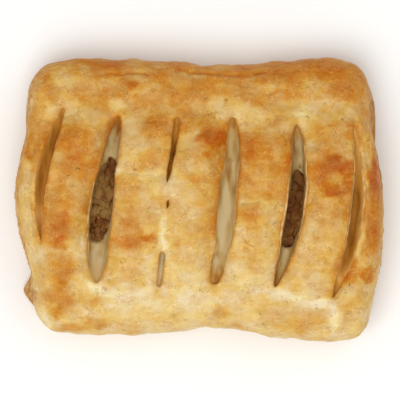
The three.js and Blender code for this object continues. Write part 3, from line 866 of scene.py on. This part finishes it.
def crumble_form(material):
    """Scatters lumpy crumbs over the part of a surface that its `showing` attribute marks."""
    tree, add, size = new_form("crumble", CRUMB_SIZES)
    showing = add("InputNamedAttribute", Name="showing")
    marked = add("Compare", A=showing, B=0.5, operation="GREATER_THAN")
    spread = add(
        "DistributePointsOnFaces", Mesh=size["Geometry"], Selection=marked, Seed=size["Seed"],
        Distance_Min=size["Crumb spacing"], Density_Max=MOST_CRUMBS, distribute_method="POISSON",
    )
    flat = add("CombineXYZ", X=1.0, Y=0.8, Z=size["Crumb flatness"])
    shapes = []
    for shape in range(CRUMB_SHAPES):
        ball = add("MeshIcoSphere", Radius=0.5, Subdivisions=2)
        lumps = uneven(
            add, size["Crumb relief"], W=3.7 * shape, Scale=1.6, Detail=3.0, noise_dimensions="4D",
        )
        pushed = add("SetPosition", Geometry=ball, Offset=lumps)
        pressed = add("Transform", Geometry=pushed, Scale=flat)
        shapes.append(add("GeometryToInstance", Geometry=pressed))
    kinds = add("JoinGeometry", Geometry=shapes)
    chosen = add("RandomValue", Min=0, Max=CRUMB_SHAPES - 1, Seed=size["Seed"], data_type="INT")
    turn = add(
        "RandomValue", Min=(-CRUMB_TILT, -CRUMB_TILT, 0.0), Max=(CRUMB_TILT, CRUMB_TILT, 6.28), Seed=11,
        data_type="FLOAT_VECTOR",
    )
    width = add("RandomValue", Min=size["Smallest crumb"], Max=size["Largest crumb"], Seed=12)
    crumbs = add(
        "InstanceOnPoints", Points=spread.outputs["Points"], Instance=kinds, Pick_Instance=True,
        Instance_Index=chosen, Rotation=turn, Scale=width,
    )
    real = add("RealizeInstances", Geometry=crumbs)
    together = add("JoinGeometry", Geometry=[size["Geometry"], real])
    smooth = add("SetShadeSmooth", Geometry=together)
    add("GroupOutput", Geometry=add("SetMaterial", Geometry=smooth, Material=material))
    return tree


LEAF_SIZES = {
    "Leaf width": 0.8 * MM, "Leaf thickness": 0.22 * MM, "Raggedness": 0.12 * MM, "Tear size": 2.0 * MM,
}


def leaf_form(material):
    """Sweeps a thin flat leaf of dough along each line of points, and tears its edges."""
    tree, add, size = new_form("parted_leaves", LEAF_SIZES)
    lines = add("MeshToCurve", Mesh=size["Geometry"])
    level = add("SetCurveNormal", Curve=lines, mode="Z_UP")
    narrowing = add("InputNamedAttribute", Name="fullness")
    section = add("CurvePrimitiveQuadrilateral", Width=size["Leaf width"], Height=size["Leaf thickness"])
    leaves = add("CurveToMesh", Curve=level, Profile_Curve=section, Scale=narrowing, Fill_Caps=True)
    fineness = add("DIVIDE", 1.0, size["Tear size"])
    tears = uneven(add, size["Raggedness"], Scale=fineness, Detail=3.0, Roughness=0.6)
    torn = add("SetPosition", Geometry=leaves, Offset=tears)
    real = add("RealizeInstances", Geometry=torn)
    add("GroupOutput", Geometry=add("SetMaterial", Geometry=real, Material=material))
    return tree


def line_object(name, lines):
    """A piece of open lines, each of points in millimetres and the fullness of the leaf at each point."""
    points, fullness = (np.concatenate(column) for column in zip(*lines))
    starts = set(np.cumsum([len(line) for line, _ in lines]).tolist())
    edges = [(i - 1, i) for i in range(1, len(points)) if i not in starts]
    return mesh_object(name, points, [], dict(fullness=fullness), edges)


def tapered(count):
    """Full in the middle of a leaf and narrow at its two ends."""
    share = np.linspace(-1, 1, count)
    return 0.12 + 0.88 * (1 - np.abs(share) ** 4)


# Thin leaves that stand out of the slits' walls: which slit, its left or right wall, how far below the
# lip, the part of the slit's half length it runs along, and how far it stands out
LIP_LEAVES = [
    (6, -1, 0.5, -0.85, 0.66, 0.3), (7, -1, 0.4, -0.9, 0.85, 0.45), (5, 1, 1.2, -0.5, 0.6, 0.2),
    (1, -1, 2.2, -0.8, 0.5, 0.3), (1, 1, 0.9, -0.8, 0.75, 0.3), (6, 1, 0.6, -0.6, 0.8, 0.35),
    (7, 1, 1.6, -0.2, 0.7, 0.3),
]
LIP_LEAF_STEP, END_LEAF_STEP = 0.6, 0.7  # from one point of a leaf's line to the next
END_LEAF_REACH = 38.0  # how far from the middle of a cut end its leaves may lie
SHORTEST_END_LEAF, USUAL_END_LEAF = 14, 20
HALVINGS = 18
FEWEST_POINTS = 12  # of a leaf that shows under the skin's edge


def lip_leaves():
    """Lines along the walls of the slits, where single leaves of dough stand out of the cut."""
    lines = []
    for at, side, depth, first, last, stand in LIP_LEAVES:
        cut = SLITS[at]
        middle, span = (cut.front + cut.back) / 2, (cut.back - cut.front) / 2
        y = middle + span * np.arange(first, last, LIP_LEAF_STEP / span)
        _, line, _ = slit_line(cut, y)
        z = crust_height(line, y) - depth
        centre, half, _ = slit_wall(cut, line, y, z)
        x = centre + side * (half + LEAF_SIZES["Leaf width"] / MM / 2 - stand)
        lines.append((np.stack([x, y, z], 1), tapered(len(y))))
    return lines


def end_leaves():
    """Lines across the cut ends, where leaves of dough fan out, two to a row."""
    draw = np.random.default_rng(13)
    lines = []
    for side, end in ((-1, LEFT_END), (1, RIGHT_END)):
        for row in np.repeat(np.arange(1.6, LEAVES - 0.4, 0.8), 2):
            first, last = sorted(draw.uniform(-END_LEAF_REACH, END_LEAF_REACH, 2))
            if last - first < SHORTEST_END_LEAF:
                last = min(first + USUAL_END_LEAF, END_LEAF_REACH)
            y = np.arange(first, last, END_LEAF_STEP)
            z = np.full(y.shape, 12.0)  # a first guess, which three rounds settle
            for _ in range(3):
                x = side * end_reach(end, y, z)
                station = crust_height(side * (HALF_LENGTH - 1.5), y)
                reach = np.where(y > 0, side_reach(BACK, x), side_reach(FRONT, x))
                outline = rolled_over(y, reach, station)
                z = outline * row / LEAVES
                z = z + 0.5 * grain(y, z, 0 * y + row, 6.0, 81)
            # Halving the stretch from inside to outside the parcel finds the face of the end
            inner, outer = np.full(y.shape, HALF_LENGTH - 20), np.full(y.shape, HALF_LENGTH + 6)
            for _ in range(HALVINGS):
                middle = (inner + outer) / 2
                inside = parcel(side * middle, y, z)[0] < 0
                inner = np.where(inside, middle, inner)
                outer = np.where(inside, outer, middle)
            stand = draw.uniform(0.05, 0.4)
            x = side * (inner - LEAF_SIZES["Leaf width"] / MM / 2 + stand)
            shows = z < end_skin_edge(x, y, outline) - 0.8
            if shows.sum() > FEWEST_POINTS:
                first, last = np.flatnonzero(shows)[[0, -1]]
                run = slice(first, last + 1)
                lines.append((np.stack([x, y, z], 1)[run], tapered(last + 1 - first)))
    return lines


FLAKE_SIZES = {
    "Smallest flake": 0.6 * MM, "Largest flake": 1.6 * MM, "Flakes to a square metre": 60000.0,
    "Flake curl": 0.05, "Seed": 3,
}
FLAKED_ABOVE = 20 * MM
FLAKED_DEPTH = 0.15  # in millimetres, as the attribute is
FLAKED_WITHIN = 0.07  # how near nought the peeled value is where flakes lift


def flake_form(material):
    """Thin curled scales of skin that lift off a surface where its `peeled` attribute is near nought."""
    tree, add, size = new_form("lifted_flakes", FLAKE_SIZES)
    peeled = add("InputNamedAttribute", Name="peeled")
    depth = add("InputNamedAttribute", Name="depth")
    position = add("InputPosition")
    place = add("SeparateXYZ", Vector=position)
    edge = add("Compare", A=peeled, B=0.0, Epsilon=FLAKED_WITHIN, operation="EQUAL")
    shallow = add("Compare", A=depth, B=FLAKED_DEPTH, operation="LESS_THAN")
    high = add("Compare", A=place.outputs["Z"], B=FLAKED_ABOVE, operation="GREATER_THAN")
    marked = edge
    for other in (shallow, high):
        marked = add("BooleanMath", marked, other)
    spread = add(
        "DistributePointsOnFaces", Mesh=size["Geometry"], Selection=marked,
        Density=size["Flakes to a square metre"], Seed=size["Seed"],
    )
    ball = add("MeshIcoSphere", Radius=0.5, Subdivisions=1)
    flat = add("VectorMath", position, (1.0, 0.75, 0.1), operation="MULTIPLY")
    scale = add("SetPosition", Geometry=ball, Position=flat)
    along = add("ADD", place, 0.4)
    bend = add("MULTIPLY", along, along)
    lift = add("MULTIPLY", bend, size["Flake curl"])
    ragged = uneven(add, (1.1, 1.1, 0.1), Scale=2.4, Detail=2.0)
    push = add("VectorMath", ragged, add("CombineXYZ", Z=lift), operation="ADD")
    curled = add("SetPosition", Geometry=scale, Offset=push)
    spin = add("RandomValue", Max=6.28, Seed=21)
    about = add("EulerToRotation", Euler=add("CombineXYZ", Z=spin))
    turned = add(
        "RotateRotation", Rotation=spread.outputs["Rotation"], Rotate_By=about, rotation_space="LOCAL",
    )
    width = add("RandomValue", Min=size["Smallest flake"], Max=size["Largest flake"], Seed=22)
    flakes = add(
        "InstanceOnPoints", Points=spread.outputs["Points"], Instance=curled, Rotation=turned, Scale=width,
    )
    smooth = add("SetShadeSmooth", Geometry=add("RealizeInstances", Geometry=flakes))
    add("GroupOutput", Geometry=add("SetMaterial", Geometry=smooth, Material=material))
    return tree


def linear(code):
    """A colour socket's value from an sRGB hex code."""
    parts = [int(code[i:i + 2], 16) / 255 for i in (0, 2, 4)]
    parts = [part / 12.92 if part <= 0.04045 else ((part + 0.055) / 1.055) ** 2.4 for part in parts]
    return (*parts, 1.0)


def per_metre(size_mm):
    """A pattern's scale for features of that size."""
    return 1 / (size_mm * MM)


def new_finish(name):
    """A material, what adds nodes to it, and the place on the piece that its patterns follow."""
    material = bpy.data.materials.new(name)
    material.use_nodes = True
    material.node_tree.nodes.clear()
    add = partial(node, material.node_tree)
    return material, add, add("TexCoord").outputs["Object"]


# Egg-washed skin, from leaves that stayed pale to scorched sugar, where the wash is thick and where it is
# thin
GLAZED_TONES = [
    (0.0, "e7d59e"), (0.22, "ddbd76"), (0.44, "d1a34f"), (0.62, "c6852b"), (0.8, "bb6b18"), (1.0, "b0550c"),
]
DULL_TONES = [
    (0.0, "e6d3ac"), (0.22, "dabd86"), (0.44, "cea35e"), (0.62, "c2873a"), (0.8, "b87226"), (1.0, "ac5d19"),
]
# The second colour here is the painted shadow along the edges of lifted flakes
TOASTED_LIP, FLAKE_EDGE_SHADOW = "b87f36", "9c5f22"
# Under the skin, each from its dark streaks to its pale ones
MOIST_TONES = [(0.1, "845322"), (0.28, "9a6f37"), (0.45, "b09157"), (0.65, "bfa879")]
AMBER_TONES = [(0.1, "945e18"), (0.28, "b67c2a"), (0.45, "cb9440"), (0.65, "dcb26a")]
CUT_END_TONES = [(0.25, "a87030"), (0.42, "c08e4c"), (0.55, "d0a665"), (0.75, "dfc088")]
LEAF_TONES = [(0.3, "aa7434"), (0.45, "c08c48"), (0.6, "d0a264"), (0.75, "dcb880")]
FILLING_TONES = [(0.3, "5e310a"), (0.45, "70400f"), (0.56, "7c501b"), (0.75, "926c34")]
MOTTLING = 0.475  # about what the patterns on the skin add to its tone in the middle
# The tint below also lightens the painted highlight beside the edges of lifted flakes
FLECK_AND_HIGHLIGHT_TINT = (0.62, 0.43, 0.2)  # the light and shade of flecks and flake edges, paler than the skin
CRUST_ATTRIBUTES = (
    "depth", "leaf", "cut_end", "slit_edge", "narrow", "browning", "peeled", "roll", "end_strip", "steep",
    "dough_tone",
)


def crust_finish():
    """Laminated dough, brushed with egg and baked: a thin golden skin, mottled, crackled and freckled,
    which has flaked off in places, with painted shadow and highlight along the edges of lifted flakes,
    over matt leaves that turn khaki where a slit shows them, with painted shade on the slits' walls."""
    material, add, place = new_finish("egg_washed_puff_pastry")
    here = {name: add("Attribute", attribute_name=name).outputs["Fac"] for name in CRUST_ATTRIBUTES}
    shift = uneven(add, (2.6 * MM,) * 3, Vector=place, Scale=per_metre(2.2), Detail=3.0)
    ragged = add("VectorMath", place, shift, operation="ADD")

    # Mottling in two sizes; on the rolled sides and the end strips the finer is drawn out along them
    broad = add("TexNoise", Vector=ragged, Scale=per_metre(8.0), Detail=4.0, Roughness=0.52)
    middling = add("TexNoise", Vector=ragged, Scale=per_metre(2.6))
    drawn = add("Mapping", Vector=ragged, Scale=(0.3, 1.0, 1.0))
    rolled = add("TexNoise", Vector=drawn, Scale=per_metre(2.0), Detail=4.0, Roughness=0.6)
    stretched = add("Mapping", Vector=ragged, Scale=(1.0, 0.16, 1.0))
    strained = add("TexNoise", Vector=stretched, Scale=per_metre(1.5), Detail=3.0, Roughness=0.55)
    middling = add("Mix", Factor=here["roll"], A=middling, B=rolled)
    middling = add("Mix", Factor=here["end_strip"], A=middling, B=strained)
    # Scales of skin, each of one tone, large and small
    large = add("TexVoronoi", Vector=ragged, Scale=per_metre(4.5))
    large = add("SeparateXYZ", Vector=large.outputs["Color"])
    small = add("TexVoronoi", Vector=drawn, Scale=per_metre(1.1))
    small = add("SeparateXYZ", Vector=small.outputs["Color"])
    tone = here["browning"]
    for pattern, share in ((broad, 0.58), (middling, 0.32), (large, 0.05), (small, 0.03)):
        tone = add("MULTIPLY_ADD", pattern, share, tone)
    tone = add("SUBTRACT", tone, MOTTLING)

    # The rims of the slits brown first; the wider band on their left sides is partly painted shade
    rim_browning_and_shade = add(
        "MapRange", Value=here["slit_edge"], From_Max=3.2, To_Min=0.26, To_Max=0.0,
        interpolation_type="SMOOTHSTEP",
    )
    rim = add("MULTIPLY_ADD", rim_browning_and_shade, broad, tone)
    rolled_down = add("MapRange", Value=here["depth"], From_Min=0.2, From_Max=1.3, To_Max=0.12)
    rim = add("ADD", rim, rolled_down)

    # Where the top leaf has flaked off, the one below is paler and matt
    torn = add("TexNoise", Vector=place, Scale=per_metre(0.9))
    torn = add("MULTIPLY_ADD", torn, 0.3, -0.15)
    torn = add("ADD", torn, here["peeled"])
    bare = add("MapRange", Value=torn, From_Min=-0.06, From_Max=0.08)
    tone = add("MULTIPLY_ADD", bare, -0.08, rim, use_clamp=True)
    glazed = add("ValToRGB", tone, stops=GLAZED_TONES)
    dull = add("ValToRGB", tone, stops=DULL_TONES)
    washed = add("TexNoise", Vector=ragged, Scale=per_metre(5.0), Detail=1.0)
    washed = add("MapRange", Value=washed, From_Min=0.4, From_Max=0.6, interpolation_type="SMOOTHSTEP")
    skin = add("Mix", Factor=washed, A=glazed, B=dull, data_type="RGBA")

    # Edges of lifted flakes in clusters, a dark line of painted shadow beside a light line of painted
    # highlight, and a grain of fine flecks
    scales = add("TexNoise", Vector=ragged, Scale=per_metre(1.7), Roughness=0.55)
    cluster = add("TexNoise", Vector=place, Scale=per_metre(3.4), Detail=3.0)
    cluster = add("MapRange", Value=cluster, From_Min=0.5, From_Max=0.61, interpolation_type="SMOOTHSTEP")
    edges = []
    for middle in (0.53, 0.47):
        off_edge = add("SUBTRACT", scales, middle)
        off_edge = add("ABSOLUTE", off_edge)
        hair = add("MapRange", Value=off_edge, From_Min=0.016, From_Max=0.04, To_Min=1.0, To_Max=0.0)
        edges.append(add("MULTIPLY", hair, cluster))
    flecks = add("TexNoise", Vector=place, Scale=per_metre(0.7), Detail=3.0)
    # The light line of each flake edge adds a painted highlight to the fine flecks
    lift = 0.18
    for pattern, share in ((flecks, -0.3), (small, -0.08), (edges[1], 0.15)):
        lift = add("MULTIPLY_ADD", pattern, share, lift)
    skin = add("VectorMath", FLECK_AND_HIGHLIGHT_TINT, lift, skin, operation="MULTIPLY_ADD")
    # The dark line is a painted shadow along each flake edge
    edge_shadow = add("MULTIPLY", edges[0], 0.38)
    skin = add("Mix", Factor=edge_shadow, A=skin, B=linear(FLAKE_EDGE_SHADOW), data_type="RGBA")

    # Under the skin: a toasted edge, then moist dough, streaked along the slit, with painted shade making
    # the walls darker than the floor; the narrow slits browned to amber, with painted shade darkening them
    # deep down
    lengthwise = add("Mapping", Vector=place, Scale=(1.0, 0.18, 1.0))
    streak = add("TexNoise", Vector=lengthwise, Scale=per_metre(2.0), Roughness=0.4)
    toned = add("MULTIPLY_ADD", here["dough_tone"], -0.3, streak)
    shaded_walls = add("MULTIPLY_ADD", here["steep"], -0.05, toned)
    moist = add("ValToRGB", shaded_walls, stops=MOIST_TONES)
    # Painted shade: the amber dough darkens the deeper it lies below the skin
    deep_shade = add("MapRange", Value=here["depth"], From_Min=1.5, From_Max=5.5, To_Min=0.28, To_Max=0.03)
    amber_deep_shaded = add("MULTIPLY_ADD", toned, 0.5, deep_shade)
    amber = add("ValToRGB", amber_deep_shaded, stops=AMBER_TONES)
    dough = add("Mix", Factor=here["narrow"], A=moist, B=amber, data_type="RGBA")
    below_lip = add(
        "MapRange", Value=here["depth"], From_Min=0.9, From_Max=1.7, interpolation_type="SMOOTHSTEP",
    )
    dough = add("Mix", Factor=below_lip, A=linear(TOASTED_LIP), B=dough, data_type="RGBA")

    # The cut ends show row over row of leaves, their edges browned and the gaps between them painted dark
    # with shade
    wavering = add("MULTIPLY_ADD", broad, 1.6, here["leaf"])
    phase = add("MULTIPLY", wavering, 2 * math.pi * 1.3)
    wave = add("SINE", phase)
    layered = middling
    for pattern, share in ((wave, 0.1), (here["dough_tone"], -0.25)):
        layered = add("MULTIPLY_ADD", pattern, share, layered)
    leaves = add("ValToRGB", layered, stops=CUT_END_TONES)
    dough = add("Mix", Factor=here["cut_end"], A=dough, B=leaves, data_type="RGBA")
    torn_depth = add("MULTIPLY_ADD", middling, 1.2, here["depth"])
    under_skin = add("MapRange", Value=torn_depth, From_Min=1.6, From_Max=2.0)
    colour = add("Mix", Factor=under_skin, A=skin, B=dough, data_type="RGBA")

    # Relief finer than the mesh: the torn edges of the top leaf, the crackle and the grain of the dough
    grainy = add("TexNoise", Vector=place, Scale=per_metre(0.6), Detail=3.0)
    grooves = add("MULTIPLY", wave, here["cut_end"])
    height = middling
    for pattern, share in ((bare, -0.9), (small, 0.5), (grainy, 0.7), (grooves, 0.5)):
        height = add("MULTIPLY_ADD", pattern, share, height)

    # Egg wash shines a little; bare leaves are matt
    gloss = add("MapRange", Value=middling, From_Min=0.3, From_Max=0.7, To_Min=0.4, To_Max=0.55)
    shader = add(
        "BsdfPrincipled", Base_Color=colour, IOR=1.45, Specular_IOR_Level=0.16,
        Roughness=add("MULTIPLY_ADD", bare, 0.14, gloss),
        Subsurface_Weight=0.1, Subsurface_Radius=(1.0, 0.55, 0.25), Subsurface_Scale=1.0 * MM,
        Normal=add("Bump", Height=height, Strength=0.6, Distance=0.14 * MM),
    )
    add("OutputMaterial", Surface=shader)
    return material


def leaf_finish():
    """Single crisp leaves of dough: matt, cream with toasted edges."""
    material, add, place = new_finish("crisp_dough_leaf")
    noise = add("TexNoise", Vector=place, Scale=per_metre(2.4), Detail=4.0)
    fine = add("TexNoise", Vector=place, Scale=per_metre(0.5))
    shader = add(
        "BsdfPrincipled", Base_Color=add("ValToRGB", noise, stops=LEAF_TONES), Roughness=0.55, IOR=1.45,
        Normal=add("Bump", Height=fine, Strength=0.5, Distance=0.08 * MM),
    )
    add("OutputMaterial", Surface=shader)
    return material


def filling_finish():
    """Minced, cooked filling: moist brown crumbs, darker in the gaps, with a faint wet sheen."""
    material, add, place = new_finish("moist_savoury_crumble")
    lumps = add("TexNoise", Vector=place, Scale=per_metre(2.8), Detail=4.0, Roughness=0.6)
    pale = add("Attribute", attribute_name="pale").outputs["Fac"]
    # Where negative, the pale attribute is painted shade in the filling's hollows
    tone = add("ADD", lumps, pale)
    fine = add("TexNoise", Vector=place, Scale=per_metre(0.6), Detail=3.0)
    shader = add(
        "BsdfPrincipled", Base_Color=add("ValToRGB", tone, stops=FILLING_TONES), Roughness=0.55, IOR=1.42,
        Specular_IOR_Level=0.25, Normal=add("Bump", Height=fine, Strength=0.7, Distance=0.2 * MM),
    )
    add("OutputMaterial", Surface=shader)
    return material


FLOOR_HALF_WIDTH = 2000.0
DAYLIGHT = 0.64
# Place and size in metres, and power in watts
LIGHTS = dict(
    key_light=((-0.18, -0.3, 0.9), 0.7, 5.0),
    fill_light=((0.5, 0.3, 0.8), 0.7, 1.0),
)
LENS, SENSOR = 400.0, 36.0
VIEW_WIDTH = 130.9  # what the photograph shows at the height where the parcel reaches furthest out


def make_stage():
    """A plain pale floor, soft light from above and the front, and a camera straight overhead."""
    corners = FLOOR_HALF_WIDTH * np.array([[-1, -1, 0], [1, -1, 0], [1, 1, 0], [-1, 1, 0]])
    floor = mesh_object("floor", corners, [(0, 1, 2, 3)])
    material, add, _ = new_finish("pale_studio_floor")
    add("OutputMaterial", Surface=add("BsdfPrincipled", Base_Color=linear("f7f6f4"), Roughness=0.9))
    floor.data.materials.append(material)
    scene = bpy.context.scene
    scene.world = bpy.data.worlds.new("studio")
    scene.world.use_nodes = True
    background = scene.world.node_tree.nodes["Background"].inputs
    background["Color"].default_value = (1, 1, 1, 1)
    background["Strength"].default_value = DAYLIGHT
    for name, (place, size, power) in LIGHTS.items():
        light = bpy.data.lights.new(name, "AREA")
        light.size = size
        light.energy = power
        lamp = bpy.data.objects.new(name, light)
        lamp.location = place
        lamp.rotation_euler = (-lamp.location).to_track_quat("-Z", "Y").to_euler()
        scene.collection.objects.link(lamp)
    scene.view_settings.view_transform = "Standard"
    camera = bpy.data.cameras.new("camera")
    camera.lens = LENS
    camera.sensor_width = SENSOR
    camera.clip_end = 20
    eye = bpy.data.objects.new("camera", camera)
    eye.location = (0, 0, (BULGE_HEIGHT + VIEW_WIDTH * LENS / SENSOR) * MM)
    scene.collection.objects.link(eye)
    scene.camera = eye


def main():
    make_stage()
    pastry, leaf, crumble = crust_finish(), leaf_finish(), filling_finish()
    crust = make_crust()
    flakes = crust.copy()
    flakes.data = crust.data.copy()
    flakes.name = "skin_flakes"
    bpy.context.scene.collection.objects.link(flakes)
    shaped(flakes, flake_form(pastry), FLAKE_SIZES)
    crust.data.materials.append(pastry)
    filling = shaped(make_filling(), crumble_form(crumble), CRUMB_SIZES)
    leaves = shaped(line_object("parted_leaves", lip_leaves() + end_leaves()), leaf_form(leaf), LEAF_SIZES)
    for piece, solid in ((crust, "crust"), (flakes, "crust"), (leaves, "crust"), (filling, "filling")):
        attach(piece, "root")
        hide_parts(solid)


main()
